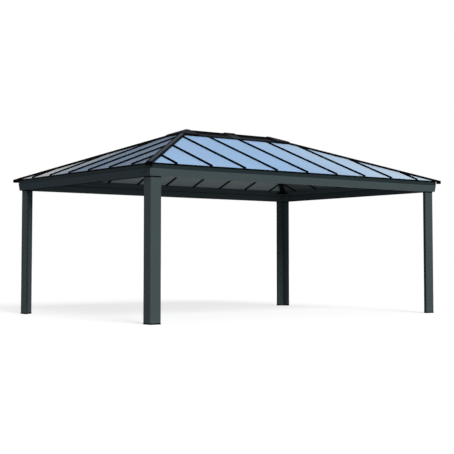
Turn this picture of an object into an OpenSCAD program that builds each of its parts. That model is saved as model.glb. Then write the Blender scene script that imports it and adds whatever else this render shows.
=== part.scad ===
// Free-standing garden gazebo: four angle-section corner posts, a ring of perimeter
// beams with gutters, and a glazed hip roof under a raised ridge cap.
// The long sides run along X, the front faces -Y, and the ground is z = 0.
// Sides are numbered 0 front, 1 right, 2 back, 3 left. Corners are numbered 0 front left,
// 1 front right, 2 back right, 3 back left. "Out" is measured outward from the posts'
// outer faces, and "run" is measured inward from them.

/* [Plan and height] */
// Length over the outer faces of the posts
span_x = 5930; // [5200:10:6800]
// Width over the outer faces of the posts
span_y = 4080; // [3500:10:4700]
// Clear height under the perimeter beams
clear_h = 2130; // [1900:5:2600]

/* [Corner posts] */
// Width of each leg of the angle-section posts
post_leg = 180; // [150:1:220]
// Depth of each leg of the angle-section posts
post_depth = 44; // [36:1:56]
// Wall of the hollow post profile
post_wall = 4; // [2:0.5:6]

/* [Foot plates] */
// Side of the square foot plate inside each post
foot_side = 76; // [70:1:130]
// Thickness of the foot plate
foot_thick = 8; // [5:0.5:12]
// Height of the foot plate's upstands along the post legs
foot_upstand_h = 70; // [40:1:120]
// Thickness of the foot plate's upstands
foot_upstand_t = 6; // [4:0.5:8]
// Spacing of the four anchor holes, both ways
foot_hole_spacing = 44; // [36:1:76]
// Diameter of the anchor holes
foot_hole_d = 9; // [7:0.5:16]
// Least metal between an anchor hole and the edge of its plate
foot_hole_edge = 4; // [3:0.5:8]

/* [Perimeter beams] */
// Height of the beams
beam_h = 111; // [90:1:150]
// Reach of the beams inside the posts' outer faces
beam_in = 60; // [56:1:80]
// Overhang of the beams' lower edge
beam_out = 32; // [15:1:45]
// Outward lean of the beam face from its lower to its upper edge
beam_lean = 14; // [0:1:20]
// Wall of the hollow beam profile
beam_wall = 3; // [2:0.5:5]

/* [Gutters] */
// Height of the gutter's outer wall
gutter_h = 54; // [30:1:60]
// Set-back of the gutter's outer wall behind the upper edge of the beam face
gutter_setback = 4; // [0:0.5:8]
// Outward lean of the gutter's outer wall
gutter_lean = 8; // [0:1:15]
// Wall of the gutter profile
gutter_wall = 3; // [2:0.5:5]

/* [Corner seats] */
// Length of each leg of the seat that carries a hip rafter
seat_leg = 165; // [120:1:200]
// Thickness of the seat's legs and of its shelf
seat_t = 10; // [6:1:14]
// Thickness of the shoe between each seat and its hip rafter
shoe_t = 12; // [8:1:20]

/* [Roof frame] */
// Slope of all four roof faces, in degrees
roof_pitch = 20.9; // [15:0.1:27]
// Height of the panels' upper face over the beams, above the posts' outer faces
panel_lift = 93; // [80:1:110]
// Width of the hip rafters
hip_w = 76; // [60:1:90]
// Depth of the hip rafters
hip_depth = 50; // [40:1:56]
// Width of the ridge beam
ridge_w = 60; // [50:1:76]
// Depth of the ridge beam
ridge_depth = 80; // [60:1:120]
// Width of the rafters
rafter_w = 26; // [20:1:38]
// Depth of the rafters
rafter_depth = 20; // [16:1:40]
// Width of the rib that stands on each rafter between two panels
rib_w = 6; // [4:0.5:8]
// Spacing of the rafters, on centres
rafter_pitch = 635; // [500:5:760]
// Least run of a rafter, which leaves out shorter ones beside the hips
rafter_run_min = 250; // [180:5:400]

/* [Roof covering] */
// Thickness of the glazing panels
panel_thick = 10; // [6:0.5:16]
// Overhang of the panels over the gutters
panel_out = 36; // [28:1:38]
// Clearance between the panels and the ribs, and between panels along hips and ridge
panel_gap = 1; // [0.5:0.5:3]
// Width of the glazing caps at the panels
cap_w = 44; // [34:1:54]
// Width of the raised crown of the glazing caps
crown_w = 30; // [20:1:34]
// Height of the glazing caps below their crown
cap_base_h = 6; // [4:0.5:9]
// Height of the crown of the glazing caps
crown_h = 8; // [3:0.5:10]
// Thickness of the eave trims that close the panels' lower edges
trim_t = 4; // [2:0.5:6]
// Reach of the eave trims above the panels
trim_reach = 2; // [1:0.5:6]
// Reach of the eave trims below the panels, down to the gutters
trim_drop = 12; // [3:0.5:14]

/* [Hip and ridge caps] */
// Width of the hip caps
hip_cap_w = 98; // [80:1:120]
// Height of the hip caps over the panels
hip_cap_h = 30; // [20:1:40]
// Overhang of the hip caps past each post face
hip_cap_out = 102; // [70:1:140]
// Height of the boxes that close the lower ends of the hip caps
hip_end_h = 54; // [46:1:70]
// Gap between those boxes and the outer corners of the gutters, square to the eaves
hip_end_gap = 4; // [2:0.5:8]
// Sheet thickness of the hip and ridge caps and their end plates
sheet_t = 4; // [2:0.5:6]
// Reach of the ridge cap and its end covers on each side of the ridge
ridge_cap_reach = 290; // [180:1:340]
// Height of the ridge cap over the panels
ridge_cap_h = 21; // [20:1:60]
// Width of the crest along the ridge cap
crest_w = 80; // [50:1:120]
// Height of the crest over the ridge cap
crest_h = 12; // [6:1:16]
// Reach of the end covers outward from the ends of the ridge
end_cover_reach = 235; // [180:1:300]
// Reach of the end covers inward along the ridge
end_cover_back = 70; // [60:1:200]
// Height of the end covers over the panels
end_cover_h = 44; // [38:1:60]
// Width of the strap over the joint between the two halves of the ridge cap
strap_w = 220; // [60:1:300]
// Height of the strap over the crest
strap_h = 14; // [6:1:20]

/* [Hidden] */
$fn = 48;

frame_colour = "#414d50";
gutter_colour = "#2b3437";
black_colour = "#1b1f21";
panel_colour = "#a3bedd";

half_x = span_x / 2;
half_y = span_y / 2;
// The hips run at 45 degrees in plan, so the ridge starts where the run reaches half the width
ridge_run = half_y;
apex_x = half_x - ridge_run;
slope = tan(roof_pitch);
hip_angle = atan(slope / sqrt(2));
beam_top_z = clear_h + beam_h;
panel_z = beam_top_z + panel_lift;

// Thicknesses square to the roof, as heights measured straight up
function rise(t) = t / cos(roof_pitch);
panel_v = rise(panel_thick);
rafter_v = rise(rafter_depth);
cap_base_v = rise(cap_base_h);
cap_v = rise(cap_base_h + crown_h);
sheet_v = rise(sheet_t);

// Distance of the anchor holes from the middle of their plate, both ways
foot_hole_at = min(foot_hole_spacing / 2, (foot_side - foot_upstand_t - foot_hole_d) / 2 - foot_hole_edge);
// Height of the hip rafters' lower edge where they meet the gutters' inner corner
hip_seat_z = panel_z - panel_v + slope * beam_in - hip_depth / cos(hip_angle);
// Foot and upper lip of the gutters' outer walls, outward from the posts
gutter_foot = beam_out + beam_lean - gutter_setback;
gutter_lip = gutter_foot + gutter_lean;
// Distances along a hip from the post's outer corner: the tip of its cap, and the inner end of the tip's box
hip_tip = -hip_cap_out * sqrt(2) - sheet_t;
hip_box_end = -(gutter_lip + hip_end_gap) * sqrt(2);

// Working solids reach this far past the model, and below the lowest roof piece
spare = 400;

function eave_half(side) = side % 2 == 0 ? half_x : half_y;
function eave_offset(side) = side % 2 == 0 ? half_y : half_x;
function corner_x(corner) = (corner == 1 || corner == 2) ? half_x : -half_x;
function corner_y(corner) = corner < 2 ? -half_y : half_y;

// Places children drawn with +Y as the run of a side and X along its eave
module at_side(side) {
    rotate([0, 0, 90 * side]) translate([0, -eave_offset(side)]) children();
}

// Places children drawn with X along a hip, starting over the post's outer corner
module at_hip(corner) {
    translate([corner_x(corner), corner_y(corner)]) rotate([0, 0, 45 + 90 * corner]) children();
}

// Places children drawn in the inner angle of a corner, with both legs along +X and +Y
module at_corner(corner) {
    rotate([0, 0, 90 * corner])
        translate([-eave_half(corner), -eave_offset(corner)]) children();
}

// Solid under the four roof planes, raised by lift over the panels' upper faces
module under_roof(lift, reach = spare) {
    base = panel_z - reach;
    eave = panel_z + lift - slope * reach;
    intersection() {
        rotate([90, 0, 90])
            linear_extrude(height = span_x + 2 * reach, center = true)
                polygon([
                    [-half_y - reach, base], [half_y + reach, base],
                    [half_y + reach, eave], [0, eave + slope * (half_y + reach)], [-half_y - reach, eave]
                ]);
        rotate([90, 0, 0])
            linear_extrude(height = span_y + 2 * reach, center = true)
                polygon([
                    [-half_x - reach, base], [half_x + reach, base],
                    [half_x + reach, eave], [0, eave + slope * (half_x + reach)], [-half_x - reach, eave]
                ]);
    }
}

// Upright prism over a plan outline, tall enough to pass the whole roof
module prism() {
    translate([0, 0, clear_h]) linear_extrude(height = panel_z + slope * half_x) children();
}

// Layer that follows the roof planes between two lifts, cut to a plan outline
module roof_layer(top, bottom) {
    intersection() {
        prism() children();
        difference() {
            under_roof(top);
            under_roof(bottom, 2 * spare);
        }
    }
}

// Plan of one roof face, from its eave to the hips and the ridge, with each edge set back
module face_plan(side, out, hip_setback, ridge_setback) {
    half = eave_half(side) - hip_setback * sqrt(2);
    top = side % 2 == 0 ? ridge_run - ridge_setback : half;
    upper = side % 2 == 0 ? [[half - top, top], [top - half, top]] : [[0, top]];
    at_side(side) polygon(concat([[-half - out, -out], [half + out, -out]], upper));
}

// Strips along the run of a side, given as pairs of edges
module strips(side, edges) {
    at_side(side)
        for (e = edges)
            translate([e[0], -spare]) square([e[1] - e[0], span_x]);
}

// Rafter centres along a side: one on the middle of the long sides, none on the short ones
function rafters_at(side) =
    let (room = (eave_half(side) - rafter_run_min) / rafter_pitch)
    side % 2 == 0
        ? [for (k = [-floor(room):floor(room)]) k * rafter_pitch]
        : [for (k = [-floor(room + 0.5):floor(room + 0.5) - 1]) (k + 0.5) * rafter_pitch];
function bar_edges(side, w) = [for (u = rafters_at(side)) [u - w / 2, u + w / 2]];
function panel_edges(side) =
    let (
        u = rafters_at(side),
        g = rib_w / 2 + panel_gap,
        far = eave_half(side) + spare,
        low = concat([-far], [for (v = u) v + g]),
        high = concat([for (v = u) v - g], [far])
    )
    [for (k = [0:len(low) - 1]) [low[k], high[k]]];

// Band along a hip in plan, from one distance to another
module hip_band(corner, w, from, to) {
    at_hip(corner) translate([from, -w / 2]) square([to - from, w]);
}

// Plan of the ridge cap, between its two end covers
module ridge_cap_plan(shrink = 0) {
    square([2 * (apex_x - end_cover_back - shrink), 2 * (ridge_cap_reach - shrink)], center = true);
}

// Plan of both end covers, over the points where two hips meet the ridge
module end_cover_plan(shrink = 0) {
    for (turn = [0, 180])
        rotate([0, 0, turn])
            translate([apex_x - end_cover_back + shrink, shrink - ridge_cap_reach])
                square([end_cover_back + end_cover_reach - 2 * shrink, 2 * (ridge_cap_reach - shrink)]);
}

module angle_plan(leg, depth) {
    polygon([[0, 0], [leg, 0], [leg, depth], [depth, depth], [depth, leg], [0, leg]]);
}

module post(corner) {
    hollow_leg = post_leg - 2 * post_wall;
    hollow_depth = post_depth - 2 * post_wall;
    color(frame_colour)
        at_corner(corner)
            linear_extrude(height = clear_h)
                difference() {
                    angle_plan(post_leg, post_depth);
                    translate([post_wall, post_wall]) angle_plan(hollow_leg, hollow_depth);
                }
}

module foot_plates() {
    middle = foot_upstand_t + (foot_side - foot_upstand_t) / 2;
    color(frame_colour)
        for (corner = [0:3])
            at_corner(corner)
                translate([post_depth, post_depth])
                    difference() {
                        union() {
                            cube([foot_side, foot_side, foot_thick]);
                            linear_extrude(height = foot_upstand_h) angle_plan(foot_side, foot_upstand_t);
                        }
                        for (i = [-1, 1], j = [-1, 1])
                            translate([middle + i * foot_hole_at, middle + j * foot_hole_at, -1])
                                cylinder(d = foot_hole_d, h = foot_thick + 2);
                    }
}

// Runs a profile of [out, height] points along a side and mitres it on the hip lines
module mitred_run(side, z, profile_out) {
    half = eave_half(side);
    intersection() {
        at_side(side)
            translate([0, 0, z])
                rotate([90, 0, -90])
                    linear_extrude(height = 2 * (half + profile_out), center = true) children();
        at_side(side)
            translate([0, 0, z - spare])
                linear_extrude(height = 2 * spare)
                    polygon([
                        [-half - profile_out, -profile_out], [half + profile_out, -profile_out],
                        [half - 2 * beam_in, 2 * beam_in], [2 * beam_in - half, 2 * beam_in]
                    ]);
    }
}

// Beam profile: upright inner wall and an outer face that leans out towards the top
module beam_profile() {
    lean = beam_lean / beam_h;
    top = beam_h - beam_wall;
    difference() {
        polygon([[-beam_in, 0], [beam_out, 0], [beam_out + beam_lean, beam_h], [-beam_in, beam_h]]);
        polygon([
            [-beam_in + beam_wall, beam_wall],
            [beam_out + lean * beam_wall - beam_wall, beam_wall],
            [beam_out + lean * top - beam_wall, top],
            [-beam_in + beam_wall, top]
        ]);
    }
}

module beam(side) {
    color(frame_colour) mitred_run(side, clear_h, beam_in + beam_out + beam_lean) beam_profile();
}

// Gutter profile: open above, with an inner wall whose top edge carries the panels
module gutter_profile() {
    inner = -beam_in + gutter_wall;
    function panel_under(out) = panel_lift - panel_v - slope * out;
    polygon([
        [-beam_in, 0], [gutter_foot, 0], [gutter_lip, gutter_h], [gutter_lip - gutter_wall, gutter_h],
        [gutter_foot - gutter_wall, gutter_wall], [inner, gutter_wall],
        [inner, panel_under(inner)], [-beam_in, panel_under(-beam_in)]
    ]);
}

module gutter(side) {
    color(gutter_colour)
        mitred_run(side, beam_top_z, beam_in + beam_out + beam_lean + gutter_lean) gutter_profile();
}

// Plan of a seat's shelf and of the shoe on it, in the inner angle of two beams
module shelf_plan() {
    polygon([[0, 0], [seat_leg, 0], [seat_leg, seat_t], [seat_t, seat_leg], [0, seat_leg]]);
}

module corner_seats() {
    height = hip_seat_z - shoe_t - clear_h;
    color(frame_colour)
        for (corner = [0:3])
            at_corner(corner)
                translate([beam_in, beam_in, clear_h]) {
                    linear_extrude(height = height) angle_plan(seat_leg, seat_t);
                    translate([0, 0, height - seat_t]) linear_extrude(height = seat_t) shelf_plan();
                }
}

module hip_shoes() {
    color(black_colour)
        for (corner = [0:3])
            at_corner(corner)
                translate([beam_in, beam_in, hip_seat_z - shoe_t]) linear_extrude(height = shoe_t) shelf_plan();
}

// Hip rafter: upright sides, a flat underside, and a top backed to both roof faces
module hip_rafter(corner) {
    length = ridge_run * sqrt(2) + spare;
    color(black_colour)
        intersection() {
            under_roof(-panel_v);
            at_hip(corner)
                translate([0, 0, panel_z - panel_v])
                    rotate([0, -hip_angle, 0])
                        translate([-spare, -hip_w / 2, -hip_depth])
                            cube([length + 2 * spare, hip_w, spare]);
            prism()
                intersection() {
                    square([span_x - 2 * beam_in, span_y - 2 * beam_in], center = true);
                    mirror([corner_x(corner) > 0 ? 0 : 1, 0])
                        mirror([0, corner_y(corner) > 0 ? 0 : 1])
                            square([half_x, half_y]);
                }
        }
}

module ridge_beam() {
    color(black_colour)
        intersection() {
            under_roof(-panel_v);
            translate([0, 0, panel_z - panel_v + slope * ridge_run - ridge_depth])
                linear_extrude(height = 2 * ridge_depth)
                    difference() {
                        square([2 * apex_x, ridge_w], center = true);
                        for (corner = [0:3])
                            hip_band(corner, hip_w, 0, ridge_run * sqrt(2) + spare);
                    }
        }
}

// Rafters: a bar under the panels with a rib that stands between two of them
module rafters(side) {
    color(black_colour) {
        roof_layer(-panel_v, -panel_v - rafter_v)
            intersection() {
                face_plan(side, -beam_in, hip_w / 2, ridge_w / 2);
                strips(side, bar_edges(side, rafter_w));
            }
        roof_layer(0, -panel_v - rafter_v)
            intersection() {
                face_plan(side, -beam_in, hip_w / 2, ridge_w / 2);
                strips(side, bar_edges(side, rib_w));
            }
    }
}

module panels(side) {
    color(panel_colour)
        roof_layer(0, -panel_v)
            intersection() {
                face_plan(side, panel_out, panel_gap, panel_gap);
                strips(side, panel_edges(side));
            }
}

// Glazing caps: a wide foot on the panels and a narrower crown, up to the hip caps
module glazing_caps(side) {
    color(black_colour) {
        roof_layer(cap_base_v, 0)
            intersection() {
                face_plan(side, panel_out, hip_cap_w / 2, panel_gap);
                strips(side, bar_edges(side, cap_w));
            }
        roof_layer(cap_v, 0)
            intersection() {
                face_plan(side, panel_out, hip_cap_w / 2, panel_gap);
                strips(side, bar_edges(side, crown_w));
            }
    }
}

// Plan of an eave trim, up to a distance from the hips
module trim_plan(side, hip_setback) {
    difference() {
        face_plan(side, panel_out + trim_t, hip_setback, 0);
        face_plan(side, panel_out, 0, 0);
    }
}

// Eave trim: a strip over the lower edges of the panels that drips into the gutter, lower under the hip caps
module eave_trim(side) {
    color(black_colour) {
        roof_layer(trim_reach, -panel_v - trim_drop) trim_plan(side, hip_cap_w / 2);
        roof_layer(0, -panel_v - trim_drop) trim_plan(side, panel_gap);
    }
}

// Hip cap: a folded sheet that stands on the panels of both faces
module hip_cap(corner) {
    color(black_colour)
        difference() {
            roof_layer(hip_cap_h, 0)
                difference() {
                    hip_band(corner, hip_cap_w, hip_box_end, ridge_run * sqrt(2));
                    end_cover_plan();
                }
            intersection() {
                under_roof(hip_cap_h - sheet_v);
                prism() hip_band(corner, hip_cap_w - 2 * sheet_t, hip_tip - spare, ridge_run * sqrt(2) + spare);
            }
        }
}

// Boxes, open below, that close the lower ends of the hip caps beyond the gutters
module hip_end_plates() {
    lower_z = panel_z + hip_cap_h - slope * hip_cap_out - hip_end_h;
    color(black_colour)
        for (corner = [0:3])
            difference() {
                intersection() {
                    under_roof(hip_cap_h);
                    translate([0, 0, lower_z])
                        linear_extrude(height = spare) hip_band(corner, hip_cap_w, hip_tip, hip_box_end);
                }
                intersection() {
                    under_roof(hip_cap_h - sheet_v);
                    translate([0, 0, lower_z - spare])
                        linear_extrude(height = 2 * spare)
                            hip_band(corner, hip_cap_w - 2 * sheet_t, hip_tip + sheet_t, hip_box_end - sheet_t);
                }
            }
}

// Half of the ridge cap: a sheet with a lip that rests on the glazing caps, and a crest along the ridge
module ridge_cap(direction) {
    color(black_colour)
        intersection() {
            prism() mirror([direction > 0 ? 0 : 1, 0]) translate([0, -span_y]) square([span_x, 2 * span_y]);
            union() {
                difference() {
                    roof_layer(ridge_cap_h, cap_v) ridge_cap_plan();
                    intersection() {
                        under_roof(ridge_cap_h - sheet_v, 2 * spare);
                        prism() ridge_cap_plan(sheet_t);
                    }
                }
                roof_layer(ridge_cap_h + crest_h, ridge_cap_h - sheet_v)
                    square([2 * (apex_x - end_cover_back), crest_w], center = true);
            }
        }
}

// Strap that hugs the ridge cap and its crest over the joint of the two halves
module ridge_cap_strap() {
    color(black_colour)
        difference() {
            union() {
                roof_layer(ridge_cap_h + sheet_v, ridge_cap_h)
                    square([strap_w, 2 * ridge_cap_reach], center = true);
                roof_layer(ridge_cap_h + crest_h + strap_h, ridge_cap_h)
                    square([strap_w, crest_w + 2 * sheet_t], center = true);
            }
            roof_layer(ridge_cap_h + crest_h, ridge_cap_h - sheet_v)
                square([2 * strap_w, crest_w], center = true);
        }
}

// Hipped covers over the ends of the ridge, with lips that rest on the panels
module ridge_end_covers() {
    color(black_colour)
        difference() {
            roof_layer(end_cover_h, 0) end_cover_plan();
            intersection() {
                under_roof(end_cover_h - sheet_v, 2 * spare);
                prism() end_cover_plan(sheet_t);
            }
        }
}

post(0);  // post_front_left
post(1);  // post_front_right
post(2);  // post_back_right
post(3);  // post_back_left
foot_plates();
beam(0);  // beam_front
beam(1);  // beam_right
beam(2);  // beam_back
beam(3);  // beam_left
gutter(0);  // gutter_front
gutter(1);  // gutter_right
gutter(2);  // gutter_back
gutter(3);  // gutter_left
corner_seats();
hip_shoes();
hip_rafter(0);  // hip_rafter_front_left
hip_rafter(1);  // hip_rafter_front_right
hip_rafter(2);  // hip_rafter_back_right
hip_rafter(3);  // hip_rafter_back_left
ridge_beam();
rafters(0);  // rafters_front
rafters(1);  // rafters_right
rafters(2);  // rafters_back
rafters(3);  // rafters_left
panels(0);  // panels_front
panels(1);  // panels_right
panels(2);  // panels_back
panels(3);  // panels_left
glazing_caps(0);  // glazing_caps_front
glazing_caps(1);  // glazing_caps_right
glazing_caps(2);  // glazing_caps_back
glazing_caps(3);  // glazing_caps_left
eave_trim(0);  // eave_trim_front
eave_trim(1);  // eave_trim_right
eave_trim(2);  // eave_trim_back
eave_trim(3);  // eave_trim_left
hip_cap(0);  // hip_cap_front_left
hip_cap(1);  // hip_cap_front_right
hip_cap(2);  // hip_cap_back_right
hip_cap(3);  // hip_cap_back_left
hip_end_plates();
ridge_cap(-1);  // ridge_cap_left
ridge_cap(1);  // ridge_cap_right
ridge_cap_strap();
ridge_end_covers();
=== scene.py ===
# %% [markdown]
# # A metal garden gazebo with a glazed hip roof
#
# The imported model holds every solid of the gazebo: posts, beams, gutters, rafters, panels and caps.
# This lesson dresses those solids. It sets up the camera and a plain studio, mixes a finish for each
# kind of surface, and then models the small things that a builder would notice: screws, rivets, bolts,
# soles, bar covers, rubber seals and dark strips. All lengths are in metres, and the ground is z = 0.

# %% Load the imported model
import math

import bmesh
import bpy
from mathutils import Matrix, Vector


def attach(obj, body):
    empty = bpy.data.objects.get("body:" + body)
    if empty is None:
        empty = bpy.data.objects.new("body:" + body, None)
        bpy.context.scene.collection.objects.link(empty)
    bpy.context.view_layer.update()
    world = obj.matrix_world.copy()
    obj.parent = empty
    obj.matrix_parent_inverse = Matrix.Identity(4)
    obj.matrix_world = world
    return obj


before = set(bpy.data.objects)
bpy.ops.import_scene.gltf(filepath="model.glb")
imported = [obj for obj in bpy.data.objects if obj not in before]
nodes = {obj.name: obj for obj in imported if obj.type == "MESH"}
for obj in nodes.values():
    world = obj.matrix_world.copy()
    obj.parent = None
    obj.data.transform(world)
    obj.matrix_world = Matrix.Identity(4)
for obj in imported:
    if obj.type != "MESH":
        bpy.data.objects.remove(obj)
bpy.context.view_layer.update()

# %% [markdown]
# ## The camera
#
# The photograph shows upright posts that hardly converge, so it was taken with a long lens from far
# away, about 0.9 m above the ground. The lens and the place below come from matching the posts, the
# corners of the beams, the hips and the ridge. The camera looks up by a little over three degrees. Its
# optical axis passes above the middle of the picture, which Blender's vertical shift reproduces.

# %% Place the camera
PICTURE_SIDE = 454
FOCAL_PIXELS = 1068.356
AXIS_ROW = 199.678
SENSOR_WIDTH = 36.0
CAMERA_PLACE = (-11.3277, -14.8677, 0.9063)
CAMERA_HEADING = 0.64919
CAMERA_RISE = 0.05751
FARTHEST_SEEN = 500

lens = bpy.data.cameras.new("camera")
lens.sensor_width = SENSOR_WIDTH
lens.lens = FOCAL_PIXELS * SENSOR_WIDTH / PICTURE_SIDE
lens.shift_y = (AXIS_ROW - PICTURE_SIDE / 2) / PICTURE_SIDE
lens.clip_end = FARTHEST_SEEN
camera = bpy.data.objects.new("camera", lens)
camera.location = CAMERA_PLACE
camera.rotation_euler = (math.pi / 2 + CAMERA_RISE, 0, -CAMERA_HEADING)
bpy.context.scene.collection.objects.link(camera)
bpy.context.scene.camera = camera
bpy.context.scene.view_settings.view_transform = "Standard"
print("lens:", round(lens.lens, 2), "mm, shift:", round(lens.shift_y, 4))

# %% [markdown]
# ## Shader maths as Python
#
# A node tree quickly becomes hard to read as a list of links. This small class wraps one output
# socket, so that sums and products of sockets are written as ordinary Python, and each operator adds
# one Math node. Every other node comes from the single method called node.

# %% Wrap a socket
class Wire:
    """One output socket of a node tree, with Python's operators for its maths."""

    def __init__(self, tree, socket):
        self.tree = tree
        self.socket = socket

    @classmethod
    def node(cls, tree, kind, settings=None, sockets=None, out=0):
        """Adds a node: its settings first, then the values or links of its sockets."""
        made = tree.nodes.new(kind)
        for name, value in (settings or {}).items():
            if name == "stops":
                cls.set_stops(made.color_ramp, value)
            else:
                setattr(made, name, value)
        for name, value in (sockets or {}).items():
            if isinstance(value, Wire):
                tree.links.new(value.socket, made.inputs[name])
            else:
                made.inputs[name].default_value = value
        return cls(tree, made.outputs[out])

    @staticmethod
    def set_stops(ramp, stops):
        """Gives a colour ramp its stops, as pairs of a place and a grey level."""
        while len(ramp.elements) < len(stops):
            ramp.elements.new(1.0)
        for element, (place, level) in zip(ramp.elements, stops):
            element.position = place
            element.color = (level, level, level, 1.0)

    def math(self, operation, first, second=0.0):
        """Adds one Math node for an operation on one or two values."""
        return Wire.node(self.tree, "ShaderNodeMath", {"operation": operation}, {0: first, 1: second})

    def __add__(self, other):
        return self.math("ADD", self, other)

    def __radd__(self, other):
        return self.math("ADD", other, self)

    def __sub__(self, other):
        return self.math("SUBTRACT", self, other)

    def __rsub__(self, other):
        return self.math("SUBTRACT", other, self)

    def __mul__(self, other):
        return self.math("MULTIPLY", self, other)

    def __rmul__(self, other):
        return self.math("MULTIPLY", other, self)

    def __pow__(self, other):
        return self.math("POWER", self, other)

    def __or__(self, other):
        return self.math("MAXIMUM", self, other)

    def __abs__(self):
        return self.math("ABSOLUTE", self)

    def sine(self):
        """The sine of this value in radians."""
        return self.math("SINE", self)

    def ramp(self, *stops):
        """Turns this value into grey levels, by stops of (place, level)."""
        return Wire.node(self.tree, "ShaderNodeValToRGB", {"stops": stops}, {"Fac": self})


print("operators: + - * ** | abs")

# %% [markdown]
# Every finish starts the same way: a Principled shader, and the Object coordinates. The objects sit
# at the origin, so Object coordinates are the real place on the gazebo in metres, and a pattern keeps
# its true scale on every piece. Colours go through Mix nodes, because a Math node would turn them grey.

# %% Helpers for a finish
def srgb(red, green, blue):
    """A screen colour from 0 to 255, as the linear colour that a shader needs, by the sRGB curve."""
    linear = []
    for level in (red / 255, green / 255, blue / 255):
        linear.append(level / 12.92 if level <= 0.04045 else ((level + 0.055) / 1.055) ** 2.4)
    return (*linear, 1.0)


def scaled(colour, factor):
    """A colour made deeper or paler, kept within the range of a colour."""
    return (*(min(1.0, channel * factor) for channel in colour[:3]), 1.0)


def start_finish(name, constants):
    """A new material with its Principled shader and its place wire. Constants go on the sockets."""
    finish = bpy.data.materials.new(name)
    finish.use_nodes = True
    tree = finish.node_tree
    shader = tree.nodes["Principled BSDF"]
    for socket, value in constants.items():
        shader.inputs[socket].default_value = value
    place = Wire.node(tree, "ShaderNodeTexCoord", out="Object")
    return finish, tree, shader, place


def feed(shader, socket, wire):
    """Links a wire to one socket of the shader."""
    wire.tree.links.new(wire.socket, shader.inputs[socket])


print("a middle grey is", round(srgb(128, 128, 128)[0], 3), "in linear light")

# %% [markdown]
# The next helpers make the wires that most finishes share: noise, blended colours, bumps, the three axes
# of a place, and the way that the surface faces. A Mix node has sockets for several kinds of value, and
# the four numbers below are the sockets that it uses for colours.

# %% Helpers for patterns
MIX_FACTOR, MIX_FIRST, MIX_SECOND, MIX_RESULT = 0, 6, 7, 2


def noise(place, scale, detail=3.0, stretch=None):
    """Noise at features per metre, stretched along an axis where a finish has a grain."""
    vector = place
    if stretch:
        vector = Wire.node(place.tree, "ShaderNodeMapping", None, {"Vector": place, "Scale": stretch})
    sockets = {"Vector": vector, "Scale": scale, "Detail": detail}
    return Wire.node(place.tree, "ShaderNodeTexNoise", None, sockets, "Fac")


def blend(tree, kind, factor, first, second):
    """Blends two colours, each a value or a wire."""
    settings = {"data_type": "RGBA", "blend_type": kind}
    sockets = {MIX_FACTOR: factor, MIX_FIRST: first, MIX_SECOND: second}
    return Wire.node(tree, "ShaderNodeMix", settings, sockets, MIX_RESULT)


def mix_colour(factor, first, second):
    """Goes from one colour to another as the factor wire goes from 0 to 1."""
    return blend(factor.tree, "MIX", factor, first, second)


def bump(height, distance, strength):
    """Turns a height wire into a normal. Distance is the true depth in metres."""
    sockets = {"Height": height, "Distance": distance, "Strength": strength}
    return Wire.node(height.tree, "ShaderNodeBump", None, sockets, "Normal")


def axes(place):
    """The x, y and z of a vector wire."""
    split = Wire.node(place.tree, "ShaderNodeSeparateXYZ", None, {"Vector": place}).socket.node
    return [Wire(place.tree, socket) for socket in split.outputs]


def upward(place):
    """How far the surface looks up: 1 for a level top, 0 for a wall and -1 for an underside."""
    return axes(Wire.node(place.tree, "ShaderNodeTexCoord", out="Normal"))[2]


print("pattern helpers ready")

# %% [markdown]
# ## Floor, background and light
#
# The photograph is a product picture on white. The world shows white to the camera, and a softer
# level to everything else, so that the background doesn't flood the object with light. Shiny surfaces
# see the same white near the horizon and a soft sky blue overhead, which is what a glazed roof mirrors
# out of doors. The floor is pale, keeps the gazebo's soft shadow, and adds a little glow of its own
# where it is seen directly, in a reflection or through a clear piece.

# %% Build the world and the floor
AMBIENT_LEVEL = 0.30
SKY_COLOUR = (0.30, 0.34, 0.40, 1.0)
WHITE = (1.0, 1.0, 1.0, 1.0)
UNLIT = (0.0, 0.0, 0.0, 1.0)
HORIZON_TOP = 0.08
SKY_START = 0.26
FLOOR_SIDE = 400
FLOOR_COLOUR = (0.62, 0.62, 0.62, 1.0)
FLOOR_GLOW = 0.62


def ray_kind(tree, kind):
    """1 for rays of one kind, and 0 for all others."""
    return Wire.node(tree, "ShaderNodeLightPath", out=kind)


def seen_directly(tree):
    """1 for rays from the camera, a reflection or a clear piece, and 0 for the light on the object."""
    seen = ray_kind(tree, "Is Camera Ray") | ray_kind(tree, "Is Glossy Ray")
    return seen | ray_kind(tree, "Is Transmission Ray")


world = bpy.data.worlds.new("white_studio")
bpy.context.scene.world = world
world.use_nodes = True
sky = world.node_tree
backdrop = sky.nodes["Background"]
height = axes(Wire.node(sky, "ShaderNodeTexCoord", out="Generated"))[2]
overhead = height.ramp((HORIZON_TOP, 0.0), (SKY_START, 1.0))
feed(backdrop, "Color", mix_colour(overhead * ray_kind(sky, "Is Glossy Ray"), WHITE, SKY_COLOUR))
feed(backdrop, "Strength", seen_directly(sky) * (1.0 - AMBIENT_LEVEL) + AMBIENT_LEVEL)

bpy.ops.object.select_all(action="DESELECT")
bpy.ops.mesh.primitive_plane_add(size=FLOOR_SIDE)
floor = bpy.context.object
floor.name = "floor"
floor_finish, tree, shader, _ = start_finish("pale_floor", {
    "Base Color": FLOOR_COLOUR, "Roughness": 1.0, "Specular IOR Level": 0.0, "Emission Strength": FLOOR_GLOW})
feed(shader, "Emission Color", mix_colour(seen_directly(tree), UNLIT, WHITE))
floor.data.materials.append(floor_finish)
print("floor side:", FLOOR_SIDE, "m")

# %% [markdown]
# A broad sun from the front, a little to the left, is the key light. In the photograph the front faces
# are the brightest, the left ones are clearly darker, and the far right corner is the darkest.

# %% Set the key light
KEY_STRENGTH = 2.6
KEY_ANGLE = math.radians(32)
KEY_FROM = Vector((-2.0, -12.0, 6.6))

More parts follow.
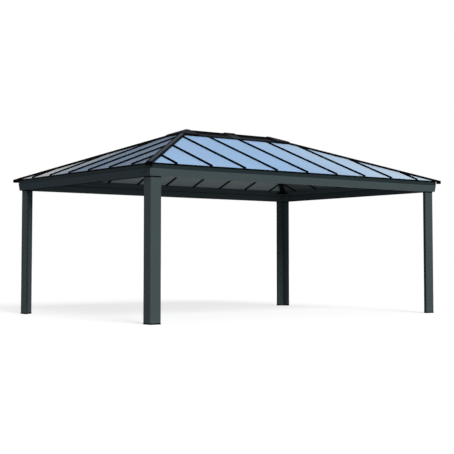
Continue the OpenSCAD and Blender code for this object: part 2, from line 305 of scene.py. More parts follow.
key = bpy.data.lights.new("key_light", "SUN")
key.energy = KEY_STRENGTH
key.angle = KEY_ANGLE
key_light = bpy.data.objects.new("key_light", key)
key_light.rotation_euler = KEY_FROM.to_track_quat("Z", "Y").to_euler()
bpy.context.scene.collection.objects.link(key_light)
print("key light from", [round(v, 2) for v in KEY_FROM.normalized()])

# %% [markdown]
# ## Powder coat on the frame
#
# The posts and beams are extruded aluminium with a powder coat in a dark grey green. Such a coat is
# matt, with a fine dimpled skin, and very slightly streaked. Dust clings to the lowest 22 cm above the
# ground. Fine noise in the bump gives the skin, and noise that is stretched upright gives the streaks in
# the colour and the roughness. The colour is a value, or a function that makes it from the place, so that
# a coat may change from one face of a profile to another.

# %% Write the powder coat
SKIN_PER_METRE = 900
SKIN_DEPTH = 0.00012
SKIN_STRENGTH = 0.5
CLOUDS_PER_METRE = 2.3
CLOUD_SHARE = 0.50
STREAKS_PER_METRE = 55.0
STREAK_STRETCH = (1.0, 1.0, 0.03)
STREAK_SHARE = 0.35
STREAK_ROUGHNESS = 0.16
THIN_COAT = (0.76, 0.76, 0.76, 1.0)
DUST = srgb(118, 116, 108)
DUST_HEIGHT = 0.22
DUST_PER_METRE = 38.0
DUST_ROUGHNESS = 0.30
FRAME_DUST = 0.12
BLACK_DUST = 0.03


def powder_coat(name, colour, roughness, specular, dust=FRAME_DUST):
    """A dimpled matt coat with faint streaks, and dust near the ground. Colour is a value or a maker."""
    finish, tree, shader, place = start_finish(name, {"Specular IOR Level": specular})
    cloud = noise(place, CLOUDS_PER_METRE, detail=4.0)
    streaks = noise(place, STREAKS_PER_METRE, detail=2.0, stretch=STREAK_STRETCH)
    shade = (cloud - 0.5) * CLOUD_SHARE + (streaks - 0.5) * STREAK_SHARE + 0.5
    full = colour(place) if callable(colour) else colour
    thin = blend(tree, "MULTIPLY", 1.0, full, THIN_COAT)
    coat = mix_colour(shade, thin, full)
    low = (axes(place)[2] * (1.0 / DUST_HEIGHT)).ramp((0.0, 1.0), (1.0, 0.0))
    settled = low * noise(place, DUST_PER_METRE, detail=5.0) * dust
    feed(shader, "Base Color", mix_colour(settled, coat, DUST))
    feed(shader, "Roughness", roughness + (streaks - 0.5) * STREAK_ROUGHNESS + settled * DUST_ROUGHNESS)
    skin = noise(place, SKIN_PER_METRE, detail=2.0)
    feed(shader, "Normal", bump(skin, SKIN_DEPTH, SKIN_STRENGTH))
    return finish


print("skin dimples every", round(1000 / SKIN_PER_METRE, 1), "mm")

# %% [markdown]
# The posts and the long beams share one grey. The beams of the short sides have a slightly darker coat
# without gloss, darkest on the faces that look down, because the photograph shows them so. That darker
# grey is painted shade for the less lit short sides, and the deepest grey is painted shade under the
# beams. Rafters, bars and bands are black.

# %% Mix the coats of the frame
FRAME_GREY = srgb(70, 81, 84)
SIDE_BEAM_SHADED_GREY = srgb(62, 73, 78)
UNDERSIDE_PAINTED_SHADE = srgb(38, 45, 47)
COAT_BLACK = srgb(5, 5, 6)
LOOKS_DOWN = 0.30


def shaded_side_beam_colour(place):
    """Painted shade on the short sides' beams: a darker grey, deeper still on the faces that look down."""
    down = (upward(place) * -1.0).ramp((LOOKS_DOWN, 0.0), (1.0, 1.0))
    return mix_colour(down, SIDE_BEAM_SHADED_GREY, UNDERSIDE_PAINTED_SHADE)


frame_coat = powder_coat("frame_powder_coat", FRAME_GREY, roughness=0.60, specular=0.03)
# Painted shade: the short sides' beams get a darker grey than the rest of the frame.
side_beam_shaded_coat = powder_coat("side_beam_painted_shade_coat", shaded_side_beam_colour, roughness=0.70, specular=0.0)
black_coat = powder_coat("black_powder_coat", COAT_BLACK, roughness=0.62, specular=0.02, dust=BLACK_DUST)
print("coats:", frame_coat.name, side_beam_shaded_coat.name, black_coat.name)

# %% [markdown]
# The gutter is two colours. Its outer face is a darker band above the beam, and its inner wall, which
# stands up inside the roof, has the colour of the beams. The place on the gazebo tells them apart: the
# inner wall is everything inside the line of the posts' outer faces.

# %% Mix the gutter's coat
HALF_X = 2.965
HALF_Y = 2.040
GUTTER_GREY = srgb(39, 50, 52)
POST_LINE_FADE = 0.002


def gutter_colour(place):
    """The dark band outside the posts' line, and the beams' grey inside it."""
    x, y = axes(place)[:2]
    outside = (abs(x) - HALF_X) | (abs(y) - HALF_Y)
    band = (outside * (1.0 / POST_LINE_FADE) + 0.5).ramp((0.0, 0.0), (1.0, 1.0))
    return mix_colour(band, FRAME_GREY, GUTTER_GREY)


gutter_coat = powder_coat("gutter_powder_coat", gutter_colour, roughness=0.60, specular=0.03)
print("gutter band:", [round(v, 3) for v in GUTTER_GREY[:3]])

# %% [markdown]
# The folded caps on the hips have the grey of the frame where they look up. The ridge caps are nearly
# black, and the strap over their joint is a little lighter. The turned-down edges of all of them are
# black. The direction of the surface tells tops and edges apart, and patches of noise keep the tops from
# being one even colour.

# %% Mix the cap coats
HIP_GREY = srgb(72, 79, 84)
RIDGE_GREY = srgb(33, 33, 33)
STRAP_GREY = srgb(52, 56, 57)
CAP_BLACK = srgb(6, 6, 6)
LOOKS_SIDEWAYS = 0.60
LOOKS_UP = 0.86
PATCHES_PER_METRE = 9.0
PATCH_LOW = 0.75
PATCH_RANGE = 0.50


def cap_coat(name, top):
    """The coat of a folded cap: black at its edges, and dulled in patches where it looks up."""
    def colour(place):
        up = upward(place).ramp((LOOKS_SIDEWAYS, 0.0), (LOOKS_UP, 1.0))
        patches = noise(place, PATCHES_PER_METRE, detail=4.0) * PATCH_RANGE + PATCH_LOW
        return mix_colour(up * patches, CAP_BLACK, top)
    return powder_coat(name, colour, roughness=0.50, specular=0.04)


hip_coat = cap_coat("hip_cap_powder_coat", HIP_GREY)
ridge_coat = cap_coat("ridge_cap_powder_coat", RIDGE_GREY)
strap_coat = cap_coat("ridge_strap_powder_coat", STRAP_GREY)
print("cap coats:", hip_coat.name, ridge_coat.name, strap_coat.name)

# %% [markdown]
# ## Multiwall roof panels
#
# The roof is glazed with twin-wall sheet: two thin skins joined by ribs about 11 mm apart that run
# down the slope. From above it shows a pale blue with fine lines, and from below a smoky grey. The
# lines are a sine across the slope. The upper and lower skins are told apart by the direction of the
# surface, so one material serves the whole sheet. The long and the short sides have their own materials:
# their ribs run in different directions, and the short sides are greyer and darker, above and below,
# as painted shade, while the long sides' bluer and paler tones are painted light. Each kind grows paler
# towards one end, where the photograph shows the sky in it: that paler end is a painted reflection.

# %% Mix the panel finishes
RIB_PITCH = 0.011
RIB_DEPTH = 0.0004
RIB_STRENGTH = 0.10
RIB_SHARPNESS = 6.0
RIB_SHARE = 0.22
RIB_COLOUR = (0.75, 0.80, 0.84, 1.0)
SHEET_IOR = 1.45
SHEET_ROUGHNESS = 0.34
UNDERSIDE_ROUGHNESS = 0.30
TINTS_PER_METRE = 1.7
TINT_RANGE = 0.10
TINT_ROUGHNESS = 0.06
LOWER_SKIN = 0.45
UPPER_SKIN = 0.55


def twin_wall(name, across, colour, sky_reflection, reflection_from, reflection_to, under, gloss):
    """Twin-wall sheet whose ribs repeat along one axis, 0 for x and 1 for y, with a painted sky reflection
    growing along it.
    """
    finish, tree, shader, place = start_finish(name, {"IOR": SHEET_IOR, "Specular IOR Level": gloss})
    up = upward(place).ramp((LOWER_SKIN, 0.0), (UPPER_SKIN, 1.0))
    spot = axes(place)[across]
    rib_wave = (2.0 * math.pi / RIB_PITCH * spot).sine() * 0.5 + 0.5
    rib_line = rib_wave ** RIB_SHARPNESS
    tint = noise(place, TINTS_PER_METRE)
    clear = mix_colour(tint, scaled(colour, 1.0 - TINT_RANGE), scaled(colour, 1.0 + TINT_RANGE))
    # Painted reflection: the colour grows paler towards one end, where the sheet would mirror the sky.
    reflected = ((spot - reflection_from) * (1.0 / (reflection_to - reflection_from))).ramp((0.0, 0.0), (1.0, 1.0))
    lined = mix_colour(rib_line * RIB_SHARE, mix_colour(reflected, clear, sky_reflection), RIB_COLOUR)
    feed(shader, "Base Color", mix_colour(up, under, lined))
    uneven = (tint - 0.5) * TINT_ROUGHNESS + (1.0 - up) * UNDERSIDE_ROUGHNESS
    feed(shader, "Roughness", SHEET_ROUGHNESS + uneven)
    feed(shader, "Normal", bump(rib_wave, RIB_DEPTH, RIB_STRENGTH))
    return finish


# Painted light: the long sides' sheet is bluer and paler, above and below, than the same sheet on the short
# sides.
long_panels = twin_wall(
    "twin_wall_long_sides", across=0, colour=srgb(157, 196, 238), sky_reflection=srgb(210, 230, 247),
    reflection_from=0.0, reflection_to=2.9, under=srgb(128, 140, 143), gloss=0.15)
# Painted shade: the short sides' sheet is greyer and darker, above and below, than the same sheet on the long
# sides.
short_panels = twin_wall(
    "twin_wall_short_sides", across=1, colour=srgb(117, 138, 162), sky_reflection=srgb(218, 220, 222),
    reflection_from=0.3, reflection_to=1.5, under=srgb(68, 78, 80), gloss=0.06)
print("panel ribs every", RIB_PITCH, "m")

# %% [markdown]
# ## Dress the solids
#
# Each solid keeps its own shape, and only its material slot changes. The start of a node's name says
# which finish it takes, so one short table covers all of them. The first row that fits counts.

# %% Give every node its finish
FINISH_OF = (
    ("post_", frame_coat),
    ("beam_left", side_beam_shaded_coat),
    ("beam_right", side_beam_shaded_coat),
    ("beam_", frame_coat),
    ("corner_", frame_coat),
    ("foot_", frame_coat),
    ("gutter_", gutter_coat),
    ("panels_front", long_panels),
    ("panels_back", long_panels),
    ("panels_left", short_panels),
    ("panels_right", short_panels),
    ("hip_cap_", hip_coat),
    ("ridge_cap_strap", strap_coat),
    ("ridge_cap_", ridge_coat),
    ("ridge_end_", ridge_coat),
    ("", black_coat),
)
for name, node in nodes.items():
    finish = next(coat for start, coat in FINISH_OF if name.startswith(start))
    for slot in node.material_slots:
        slot.material = finish
print("finished nodes:", sum(1 for node in nodes.values() if node.material_slots))

# %% [markdown]
# ## Tools for the small hardware
#
# Screws, rivets, bolts and strips are modelled once each and copied to their places. The first helpers
# do the modelling: they start from a flat disc or another primitive, select faces by a test on their
# middle and normal, as a hand would with the mouse, raise them, and leave clean normals behind.

# %% Helpers for modelling
SQUARE = 0.9
SMOOTH_BELOW = 35


def open_piece(name):
    """Names the primitive that was just added, and opens it for editing with nothing selected."""
    piece = bpy.context.object
    piece.name = name
    bpy.ops.object.mode_set(mode="EDIT")
    bpy.ops.mesh.select_mode(type="FACE")
    bpy.ops.mesh.select_all(action="DESELECT")
    return piece


def disc(name, sides, radius, thickness, middle=0.0):
    """Adds a flat disc with its middle at some height, and opens it for editing."""
    bpy.ops.object.select_all(action="DESELECT")
    bpy.ops.mesh.primitive_cylinder_add(
        vertices=sides, radius=radius, depth=thickness, location=(0, 0, middle))
    bpy.ops.object.transform_apply(location=True)
    return open_piece(name)


def pick(test):
    """Selects the faces whose middle and normal pass the test."""
    mesh = bmesh.from_edit_mesh(bpy.context.object.data)
    for face in mesh.faces:
        face.select_set(test(face.calc_center_median(), face.normal))
    mesh.select_flush_mode()
    bmesh.update_edit_mesh(bpy.context.object.data)


def faces_up(middle, normal):
    """True for a face that looks straight up."""
    return normal.z > SQUARE


def raise_faces(height, widen=1.0):
    """Extrudes the selected faces along z, and widens or narrows what was raised."""
    bpy.ops.mesh.extrude_region_move(TRANSFORM_OT_translate={"value": (0.0, 0.0, height)})
    bpy.ops.transform.resize(value=(widen, widen, 1.0))


def turn_outward():
    """Turns all normals of the piece in edit mode outward, and leaves edit mode."""
    bpy.ops.mesh.select_all(action="SELECT")
    bpy.ops.mesh.normals_make_consistent(inside=False)
    bpy.ops.object.mode_set(mode="OBJECT")


def close_piece(angle=SMOOTH_BELOW):
    """Leaves edit mode with the normals outward, and smooths all but the sharp edges."""
    turn_outward()
    bpy.ops.object.shade_smooth_by_angle(angle=math.radians(angle))


print("edges are smoothed below", SMOOTH_BELOW, "degrees")

# %% [markdown]
# The next helpers do the placing. One drops a ray on a solid to find the surface under a piece, which is
# surer than working the height out, and turns the piece to stand on that surface. One copies a model to
# all of its places as one piece, which rides on the gazebo. One removes the model when that is done.

# %% Helpers for placing
DOWN = (0.0, 0.0, -1.0)


def touch(node, start, direction=DOWN):
    """The place where a ray meets a node, with z along the surface's normal, or None if it misses."""
    met, spot, normal, _ = nodes[node].ray_cast(Vector(start), Vector(direction))
    if not met:
        return None
    return Matrix.Translation(spot) @ normal.to_track_quat("Z", "Y").to_matrix().to_4x4()


def set_copies(model, places, name, finish):
    """Copies a model to every place, joins the copies into one piece, and dresses it."""
    bpy.ops.object.select_all(action="DESELECT")
    places = [place for place in places if place]
    for place in places:
        copy = bpy.data.objects.new(name, model.data.copy())
        copy.data.transform(place)
        bpy.context.scene.collection.objects.link(copy)
        copy.select_set(True)
    bpy.context.view_layer.objects.active = copy
    bpy.ops.object.join()
    piece = bpy.context.object
    piece.name = name
    piece.data.materials.clear()
    piece.data.materials.append(finish)
    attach(piece, "root")
    print(name, "holds", len(places), "copies and", len(piece.data.polygons), "faces")
    return piece


def drop_model(model):
    """Removes a model once its copies are in place."""
    bpy.data.objects.remove(model, do_unlink=True)


bpy.context.view_layer.update()
print("rays can meet", len(nodes), "nodes")

# %% [markdown]
# ## The plan of the roof
#
# The bars are one pitch apart on each side of the roof, counted from the middle of the side. The four
# sides are quarter turns of the same plan, and so are the four corners, which are listed in the order of
# those turns with their signs on x and y. From over each post, a hip runs inward at half a right angle.

# %% Describe the plan
HIGH = 6.0
BAR_PITCH = 0.635
BAR_COUNTS = (9, 6)
SIDES = ("front", "right", "back", "left")
CORNERS = {"front_left": (-1, -1), "front_right": (1, -1), "back_right": (1, 1), "back_left": (-1, 1)}


def quarter_turns(count):
    """A turn about the upright axis in the middle of the gazebo."""
    return Matrix.Rotation(count * math.pi / 2, 4, "Z")


def spans(side):
    """Half the length of a side, and how far out it lies, both to the posts' outer faces."""
    return (HALF_X, HALF_Y) if side % 2 == 0 else (HALF_Y, HALF_X)


def bars(side):
    """How far along the eave each bar of a side lies."""
    count = BAR_COUNTS[side % 2]
    return [(k - (count - 1) / 2) * BAR_PITCH for k in range(count)]


def hip_line(corner):
    """A hip seen from above: its foot over the post, and the directions along and across it."""
    sign_x, sign_y = CORNERS[corner]
    inward = Vector((-sign_x, -sign_y)).normalized()
    across = Vector((-inward.y, inward.x))
    return Vector((sign_x * HALF_X, sign_y * HALF_Y)), inward, across


def corner_place(corner, height):
    """The place of a piece drawn in the angle of the front left corner, turned to another corner."""
    sign_x, sign_y = list(CORNERS.values())[corner]
    return Matrix.Translation((sign_x * HALF_X, sign_y * HALF_Y, height)) @ quarter_turns(corner)


print("bars on the four sides:", [len(bars(side)) for side in range(4)])

# %% [markdown]
# ## Screws on the glazing caps
#
# Each glazing cap is clamped down through the panels by screws with a round washer. A screw starts as
# an eight-sided disc, the washer, which is sunk by half so that no gap shows under it. Its top is inset
# and raised to make the head, and the middle of the head is sunk to make the socket. There are nearly a
# hundred, so each has only a few dozen faces.

# %% Model the clamp screw
WASHER_SIDES = 8
WASHER_RADIUS = 0.0085
WASHER_THICK = 0.0016
HEAD_RADIUS = 0.0058
HEAD_HEIGHT = 0.0034
HEAD_TAPER = 0.84
SOCKET_RIM = 0.34
SOCKET_DEPTH = 0.0018
SOCKET_TAPER = 0.90

clamp_screw = disc("clamp_screw", WASHER_SIDES, WASHER_RADIUS, WASHER_THICK)
pick(faces_up)
bpy.ops.mesh.inset(thickness=WASHER_RADIUS - HEAD_RADIUS)
raise_faces(HEAD_HEIGHT, HEAD_TAPER)
bpy.ops.mesh.inset(thickness=HEAD_RADIUS * SOCKET_RIM)
raise_faces(-SOCKET_DEPTH, SOCKET_TAPER)
close_piece()
print("clamp screw faces:", len(clamp_screw.data.polygons))

# %% [markdown]
# A bar ends where a hip cap or a ridge cap covers it, so screws are set only where no cap lies above,
# and a ray that misses the bar gives no screw. The covers of the bars come later, and the screws are
# lifted by their height to stand on them.

# %% Set the screws on the glazing caps
SCREW_PITCH = 0.42
FIRST_SCREW = 0.06
LAST_SCREW = 1.80
COVER_HEIGHT = 0.0085
CAPS_ABOVE = ("hip_cap_front_left", "hip_cap_front_right", "hip_cap_back_right", "hip_cap_back_left",
              "ridge_cap_left", "ridge_cap_right", "ridge_cap_strap", "ridge_end_covers")


def side_point(side, along, run):
    """A point high over one side of the roof: along the eave, and in from the posts' outer faces."""
    return quarter_turns(side) @ Vector((along, run - spans(side)[1], HIGH))


def uncovered(point):
    """True where no hip or ridge cap lies over a point of the roof."""
    return not any(touch(cap, point) for cap in CAPS_ABOVE)


screw_count = int((LAST_SCREW - FIRST_SCREW) / SCREW_PITCH) + 1
screw_runs = [FIRST_SCREW + k * SCREW_PITCH for k in range(screw_count)]
lifted = Matrix.Translation((0, 0, COVER_HEIGHT))
for side, name in enumerate(SIDES):
    points = [side_point(side, along, run) for along in bars(side) for run in screw_runs]
    places = [touch("glazing_caps_" + name, point) for point in points if uncovered(point)]
    places = [place @ lifted for place in places if place]
    set_copies(clamp_screw, places, "clamp_screws_" + name, black_coat)
drop_model(clamp_screw)

# %% [markdown]
# ## Rivets on the folded caps
#
# The hip caps and ridge caps are thin folded sheet, held by pop rivets along both edges. A rivet is a
# low dome: a disc whose top is raised twice, by a rise and a narrowing each time. The rivets walk up each
# hip a fixed distance to both sides of its line, and along the ridge in the same way.

# %% Model and set the rivets
RIVET_SIDES = 10
RIVET_RADIUS = 0.0062
RIVET_RIM = 0.001
RIVET_DOME = ((0.0014, 0.82), (0.0009, 0.55))
RIVET_SMOOTH = 60
HIP_RIVETS = 9
HIP_START = 0.10
HIP_PITCH = 0.30
HIP_OFFSET = 0.022
RIDGE_RIVETS = 4
RIDGE_START = 0.14
RIDGE_PITCH = 0.216
RIDGE_ROWS = (-0.20, 0.20)

rivet = disc("rivet", RIVET_SIDES, RIVET_RADIUS, RIVET_RIM)
pick(faces_up)
for rise, narrowing in RIVET_DOME:
    raise_faces(rise, narrowing)
close_piece(RIVET_SMOOTH)

for corner in CORNERS:
    foot, inward, across = hip_line(corner)
    places = []
    for k in range(HIP_RIVETS):
        for offset in (-HIP_OFFSET, HIP_OFFSET):
            spot = foot + inward * (HIP_START + k * HIP_PITCH) + across * offset
            places.append(touch("hip_cap_" + corner, (*spot, HIGH)))
    set_copies(rivet, places, "hip_rivets_" + corner, hip_coat)

for direction, hand in ((-1, "left"), (1, "right")):
    columns = [direction * (RIDGE_START + k * RIDGE_PITCH) for k in range(RIDGE_RIVETS)]
    places = [touch("ridge_cap_" + hand, (x, y, HIGH)) for x in columns for y in RIDGE_ROWS]
    set_copies(rivet, places, "ridge_rivets_" + hand, ridge_coat)

# %% [markdown]
# The strap over the joint of the two ridge caps and the pointed covers at the ridge's ends are held in
# the same way, so the same rivet serves them.

# %% Set the rivets of the strap and the end covers
STRAP_ROWS = (-0.24, -0.10, 0.10, 0.24)
STRAP_COLUMNS = (-0.085, 0.085)
END_COVER_SPOTS = ((0.99, -0.13), (0.99, 0.13), (1.08, 0.0))

places = [touch("ridge_cap_strap", (x, y, HIGH)) for x in STRAP_COLUMNS for y in STRAP_ROWS]
for x, y in END_COVER_SPOTS:
    places.append(touch("ridge_end_covers", (x, y, HIGH)))
    places.append(touch("ridge_end_covers", (-x, y, HIGH)))
set_copies(rivet, places, "ridge_joint_rivets", ridge_coat)
drop_model(rivet)

# %% [markdown]
# ## Bolts in the corners and at the feet
#
# Inside each corner, a steel seat ties two beams to the hip rafter, and bolts go through it into the
# beams. A bolt is a round washer under a six-sided head. An inset whose middle is raised a little
# chamfers the top edge of both. The same bolt, smaller and standing up, holds the foot plates down.

# %% Model the bolt
BOLT_WASHER_SIDES = 18
BOLT_WASHER = 0.0150
BOLT_WASHER_THICK = 0.0025
BOLT_HEAD_SIDES = 6
BOLT_HEAD = 0.0108
BOLT_HEIGHT = 0.0075
BOLT_SMOOTH = 20
CHAMFER = 0.0016
WASHER_CROWN = 0.4
HEAD_CROWN = 0.6

washer = disc("washer", BOLT_WASHER_SIDES, BOLT_WASHER, BOLT_WASHER_THICK, BOLT_WASHER_THICK / 2)
pick(faces_up)
bpy.ops.mesh.inset(thickness=CHAMFER)
raise_faces(CHAMFER * WASHER_CROWN)
close_piece()

bolt = disc("bolt", BOLT_HEAD_SIDES, BOLT_HEAD, BOLT_HEIGHT, BOLT_WASHER_THICK + BOLT_HEIGHT / 2)
pick(faces_up)
bpy.ops.mesh.inset(thickness=CHAMFER)
raise_faces(CHAMFER * HEAD_CROWN)
close_piece(BOLT_SMOOTH)
washer.select_set(True)
bpy.ops.object.join()
print("bolt faces:", len(bolt.data.polygons))

# %% [markdown]
# A ray from inside the gazebo finds the inner face of each seat. Four bolts go through each of its two
# legs, in two rows. On the foot plate in each post's angle, four smaller screws stand over its holes.

# %% Set the bolts and the foot screws
SEAT_ALONG = (0.045, 0.120)
SEAT_ROWS = (2.165, 2.225)
INSIDE = 0.5
BEAM_IN = 0.060
FOOT_MIDDLE = 0.085
FOOT_HOLE_AT = 0.022
FOOT_TOP = 0.008
FOOT_SCREW_SCALE = 0.6

places = []
for sign_x, sign_y in CORNERS.values():
    for along in SEAT_ALONG:
        for row in SEAT_ROWS:
            x = sign_x * (HALF_X - BEAM_IN - along)
            places.append(touch("corner_seats", (x, sign_y * (HALF_Y - INSIDE), row), (0, sign_y, 0)))
            y = sign_y * (HALF_Y - BEAM_IN - along)
            places.append(touch("corner_seats", (sign_x * (HALF_X - INSIDE), y, row), (sign_x, 0, 0)))
set_copies(bolt, places, "seat_bolts", frame_coat)

places = []
for sign_x, sign_y in CORNERS.values():
    for step_x in (-FOOT_HOLE_AT, FOOT_HOLE_AT):
        for step_y in (-FOOT_HOLE_AT, FOOT_HOLE_AT):
            x = sign_x * (HALF_X - FOOT_MIDDLE) + step_x
            y = sign_y * (HALF_Y - FOOT_MIDDLE) + step_y
            places.append(Matrix.Translation((x, y, FOOT_TOP)) @ Matrix.Scale(FOOT_SCREW_SCALE, 4))
set_copies(bolt, places, "foot_screws", frame_coat)
drop_model(bolt)

# %% [markdown]
# ## Black bands at the posts' heads and feet
#
# A black band runs round each post's head just under the beam on it, a painted shadow for the shade
# that the beam's overhang casts there. Another, a plastic sole, lifts the post off wet ground. Both follow
# the angle of the post. The band starts as a flat box as long as one leg. A cut marks where the second
# leg begins, that part is extruded to make the angle, the upper and lower faces go, and a Solidify
# modifier gives the remaining ribbon its thickness outwards.

# %% Model the band
POST_LEG = 0.180
POST_DEPTH = 0.044
BAND_HEIGHT = 0.014
BAND_THICK = 0.0015

bpy.ops.object.select_all(action="DESELECT")
bpy.ops.mesh.primitive_cube_add(size=1.0, location=(POST_LEG / 2, POST_DEPTH / 2, BAND_HEIGHT / 2))
bpy.context.object.scale = (POST_LEG, POST_DEPTH, BAND_HEIGHT)
bpy.ops.object.transform_apply(location=True, scale=True)
band = open_piece("band")
bpy.ops.mesh.select_all(action="SELECT")
bpy.ops.mesh.bisect(plane_co=(POST_DEPTH, 0, 0), plane_no=(1, 0, 0))
pick(lambda middle, normal: normal.y > SQUARE and middle.x < POST_DEPTH)
bpy.ops.mesh.extrude_region_move(TRANSFORM_OT_translate={"value": (0, POST_LEG - POST_DEPTH, 0)})
pick(lambda middle, normal: abs(normal.z) > SQUARE)
bpy.ops.mesh.delete(type="FACE")
close_piece()
wall = band.modifiers.new("wall", "SOLIDIFY")
wall.thickness = BAND_THICK
wall.offset = 1.0
wall.use_even_offset = True
bpy.ops.object.modifier_apply(modifier=wall.name)
print("band size:", [round(v, 4) for v in band.dimensions])

# %% [markdown]
# The bands at the heads, painted shadow under the beams, keep that height. The soles are the same band, drawn
# a little taller.

# %% Set the bands
HEAD_Z = 2.130
SOLE_HEIGHT = 0.020

heads = [corner_place(corner, HEAD_Z - BAND_HEIGHT) for corner in range(4)]
taller = Matrix.Diagonal((1.0, 1.0, SOLE_HEIGHT / BAND_HEIGHT, 1.0))
feet = [corner_place(corner, 0.0) @ taller for corner in range(4)]
# Painted shadow: black bands under the beams, where their overhang shades the posts' heads.
set_copies(band, heads, "post_head_shadow_bands", black_coat)
set_copies(band, feet, "post_foot_bands", black_coat)
drop_model(band)

# %% [markdown]
# ## Covers and seals of the glazing bars
#
# A cover strip with rounded edges closes the top of each glazing bar, and under both edges of the bar
# a rubber seal presses on the panel and shows as a thin lip. Both are long strips with bevelled upper
# edges. Each is modelled one metre long, stretched to the length of its bar, and laid on the slope.

# %% Model the cover and the seal
CAP_WIDTH = 0.044
CAP_HEIGHT = 0.014
COVER_WIDTH = 0.030
COVER_BEVEL = 0.0018
SEAL_WIDTH = 0.003
SEAL_HEIGHT = 0.003
SEAL_BEVEL = 0.0020
BEVEL_STEPS = 2
NEAR_EDGE = 0.9
NEAR_MIDDLE = 0.1


def long_strip(name, low_x, high_x, height, bevel, both_edges=True):
    """A strip one metre long on y, with one or both of its upper long edges rounded."""
    bpy.ops.object.select_all(action="DESELECT")
    bpy.ops.mesh.primitive_cube_add(size=1.0, location=((low_x + high_x) / 2, 0.5, height / 2))
    bpy.context.object.scale = (high_x - low_x, 1.0, height)
    bpy.ops.object.transform_apply(location=True, scale=True)
    strip = open_piece(name)
    bpy.ops.mesh.select_mode(type="EDGE")
    mesh = bmesh.from_edit_mesh(strip.data)
    for edge in mesh.edges:
        middle = (edge.verts[0].co + edge.verts[1].co) / 2
        outer = middle.x > high_x * NEAR_EDGE or (both_edges and middle.x < low_x * NEAR_EDGE)
        upper = middle.z > height * NEAR_EDGE
        edge.select_set(outer and upper and abs(middle.y - 0.5) < NEAR_MIDDLE)
    bmesh.update_edit_mesh(strip.data)
    bpy.ops.mesh.bevel(offset=bevel, segments=BEVEL_STEPS)
    close_piece()
    print(name, "faces:", len(strip.data.polygons))
    return strip


def wide_strip(name, width, height, bevel):
    """A strip with its middle line on the y axis, rounded on both upper edges."""
    return long_strip(name, -width / 2, width / 2, height, bevel)


def stretched(length, hand=1.0):
    """Draws a strip out to its length, and mirrors it where the hand is -1."""
    return Matrix.Diagonal((hand, length, 1.0, 1.0))


seal = long_strip("seal", 0.0, SEAL_WIDTH, SEAL_HEIGHT, SEAL_BEVEL, both_edges=False)
cover = wide_strip("cover", COVER_WIDTH, COVER_HEIGHT, COVER_BEVEL)

# %% [markdown]
# The panels start a little outside the posts and climb at the roof's pitch. A strip ends where its bar
# meets the hip cap or the ridge cap, so its length follows from how far along the eave the bar stands.
# Half of the seals are mirrored copies, so their normals are turned outward again.

# %% Set the covers and the seals
PITCH = math.radians(20.9)
PANEL_Z = 2.334
PANEL_OUT = 0.035
HIP_CAP_HALF = 0.049
RIDGE_CAP_REACH = 0.290


def strip_place(side, along, inner, outer, lift):
    """The place of a strip that starts at the eave, beside the middle of a bar by inner to outer."""
    half, out = spans(side)
    edge = max(abs(along + inner), abs(along + outer))
    run = min(half - edge - HIP_CAP_HALF * math.sqrt(2), HALF_Y - RIDGE_CAP_REACH)
    length = (run + PANEL_OUT) / math.cos(PITCH)
    foot = Vector((along + inner, -PANEL_OUT - out, PANEL_Z - math.tan(PITCH) * PANEL_OUT))
    lean = Matrix.Rotation(PITCH, 4, "X") @ Matrix.Translation((0, 0, lift))
    hand = 1.0 if outer >= inner else -1.0
    return quarter_turns(side) @ Matrix.Translation(foot) @ lean @ stretched(length, hand)


for side, name in enumerate(SIDES):
    places = []
    for along in bars(side):
        for hand in (-1, 1):
            inner = hand * CAP_WIDTH / 2
            places.append(strip_place(side, along, inner, inner + hand * SEAL_WIDTH, 0.0))
    set_copies(seal, places, "bar_seals_" + name, black_coat)
    bpy.ops.object.mode_set(mode="EDIT")
    turn_outward()
    places = [strip_place(side, along, 0.0, 0.0, CAP_HEIGHT) for along in bars(side)]
    set_copies(cover, places, "bar_covers_" + name, black_coat)
drop_model(seal)
drop_model(cover)

# %% [markdown]
# ## Dark strips on the posts' legs
#
# A dark strip runs up the inner end of each leg of a post, from the sole to the band at the head, so the
# leg ends show darker. It is the rounded strip again. The two matrices stand it upright, with its rounded
# side out of the end of one leg or the other.

# %% Model and set the closing strips
LEG_STRIP_GREY = srgb(48, 56, 58)
LEG_STRIP_WIDTH = 0.040
LEG_STRIP_PROUD = 0.0015
LEG_STRIP_BEVEL = 0.0008
LEG_STRIP_LENGTH = HEAD_Z - BAND_HEIGHT - SOLE_HEIGHT
ON_X_LEG = Matrix(((0, 0, 1, POST_LEG), (1, 0, 0, POST_DEPTH / 2), (0, 1, 0, 0), (0, 0, 0, 1)))
ON_Y_LEG = Matrix(((-1, 0, 0, POST_DEPTH / 2), (0, 0, 1, POST_LEG), (0, 1, 0, 0), (0, 0, 0, 1)))

strip_coat = powder_coat("leg_strip_powder_coat", LEG_STRIP_GREY, roughness=0.60, specular=0.03)
leg_strip = wide_strip("leg_strip", LEG_STRIP_WIDTH, LEG_STRIP_PROUD, LEG_STRIP_BEVEL)
places = []
for corner in range(4):
    for on_leg in (ON_X_LEG, ON_Y_LEG):
        places.append(corner_place(corner, SOLE_HEIGHT) @ on_leg @ stretched(LEG_STRIP_LENGTH))
set_copies(leg_strip, places, "post_leg_strips", strip_coat)
drop_model(leg_strip)

# %% [markdown]
# ## Strips on the ridge caps
#
# Black strips cover the crest and lap onto both slopes of the ridge caps, and a black strip along their
# lower edges is painted shadow, for the shade in the gap under the caps' edges, so each cap shows as a
# dull band between two dark lines. All are the rounded strip again, laid along the ridge between the end
# covers. They are thinner than the sheet of the strap, which passes over them. The table gives each one's
# width, and how far its middle line lies from the ridge on both sides. A ray finds the slope that each lies
# on.

# %% Model and set the ridge strips
RIDGE_STRIP_END = 0.854
EDGE_STRIP_HEIGHT = 0.0015
EDGE_STRIP_BEVEL = 0.0008
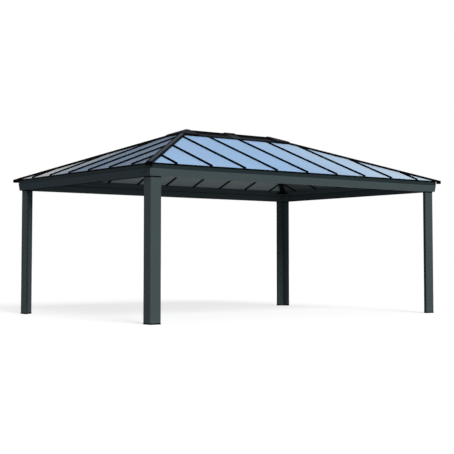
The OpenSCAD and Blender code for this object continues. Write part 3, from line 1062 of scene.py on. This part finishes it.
# The last strip is painted shadow along the caps' lower edges.
RIDGE_STRIPS = (("ridge_crest", 0.038, 0.0198), ("ridge_crown", 0.112, 0.0970), ("ridge_lip", 0.020, 0.279))


def laid(first_node, first, last_node, last):
    """The place of a strip stretched between two points of the roof, flat on the caps under them."""
    begin = touch(first_node, (*first, HIGH))
    end = touch(last_node, (*last, HIGH))
    along = end.translation - begin.translation
    length = along.length
    along.normalize()
    normal = begin.col[2].xyz
    turn = Matrix((along.cross(normal), along, normal)).transposed().to_4x4()
    return Matrix.Translation(begin.translation) @ turn @ stretched(length)


for name, width, middle in RIDGE_STRIPS:
    strip = wide_strip(name, width, EDGE_STRIP_HEIGHT, EDGE_STRIP_BEVEL)
    places = []
    for y in (-middle, middle):
        places.append(laid("ridge_cap_left", (-RIDGE_STRIP_END, y), "ridge_cap_right", (RIDGE_STRIP_END, y)))
    set_copies(strip, places, name + "s", black_coat)
    drop_model(strip)

# %% [markdown]
# The hip caps get dark edges too, with taller lips that stand up along both wings, so that a hip seen
# from its side shows as one dark line. Rays dropped every centimetre along a hip find where its cap
# starts and ends, and a strip is stretched between the two on each of its wings.

# %% Set the hip strips
HIP_LIP_WIDTH = 0.0140
HIP_LIP_HEIGHT = 0.0060
HIP_LIP_MIDDLE = 0.0410
HIP_SEARCH = (-0.30, 3.00)
HIP_STEP = 0.01


def hip_ends(corner, offset):
    """The first and the last point of a hip cap, along a line beside the hip."""
    foot, inward, across = hip_line(corner)
    start = foot + across * offset
    count = round((HIP_SEARCH[1] - HIP_SEARCH[0]) / HIP_STEP)
    points = [start + inward * (HIP_SEARCH[0] + k * HIP_STEP) for k in range(count)]
    met = [point for point in points if touch("hip_cap_" + corner, (*point, HIGH))]
    return met[0], met[-1]


strip = wide_strip("hip_lip", HIP_LIP_WIDTH, HIP_LIP_HEIGHT, EDGE_STRIP_BEVEL)
for corner in CORNERS:
    node = "hip_cap_" + corner
    places = []
    for offset in (-HIP_LIP_MIDDLE, HIP_LIP_MIDDLE):
        first, last = hip_ends(corner, offset)
        places.append(laid(node, first, node, last))
    set_copies(strip, places, "hip_lips_" + corner, black_coat)
drop_model(strip)

# %% [markdown]
# ## Seals between the gutters and the beams
#
# Inside the roof, a rubber seal closes the long joint where each gutter stands on its beam, and shows
# as a thin dark line. It is the same rounded strip once more, turned to face into the gazebo, with its
# ends cut short of the corner seats.

# %% Model and set the joint seals
JOINT_Z = 2.241
JOINT_SEAL_HEIGHT = 0.007
JOINT_SEAL_PROUD = 0.0025
JOINT_SEAL_BEVEL = 0.0012
SEAT_REACH = 0.230
FACING_IN = Matrix(((0, 1, 0, 0), (0, 0, 1, 0), (1, 0, 0, 0), (0, 0, 0, 1)))


def joint_place(side):
    """The place of one joint seal, with its rounded side towards the middle of the gazebo."""
    half, out = spans(side)
    length = 2 * (half - SEAT_REACH)
    start = Matrix.Translation((-length / 2, BEAM_IN - out, JOINT_Z))
    return quarter_turns(side) @ start @ FACING_IN @ stretched(length)


joint_seal = wide_strip("joint_seal", JOINT_SEAL_HEIGHT, JOINT_SEAL_PROUD, JOINT_SEAL_BEVEL)
set_copies(joint_seal, [joint_place(side) for side in range(4)], "joint_seals", black_coat)
drop_model(joint_seal)
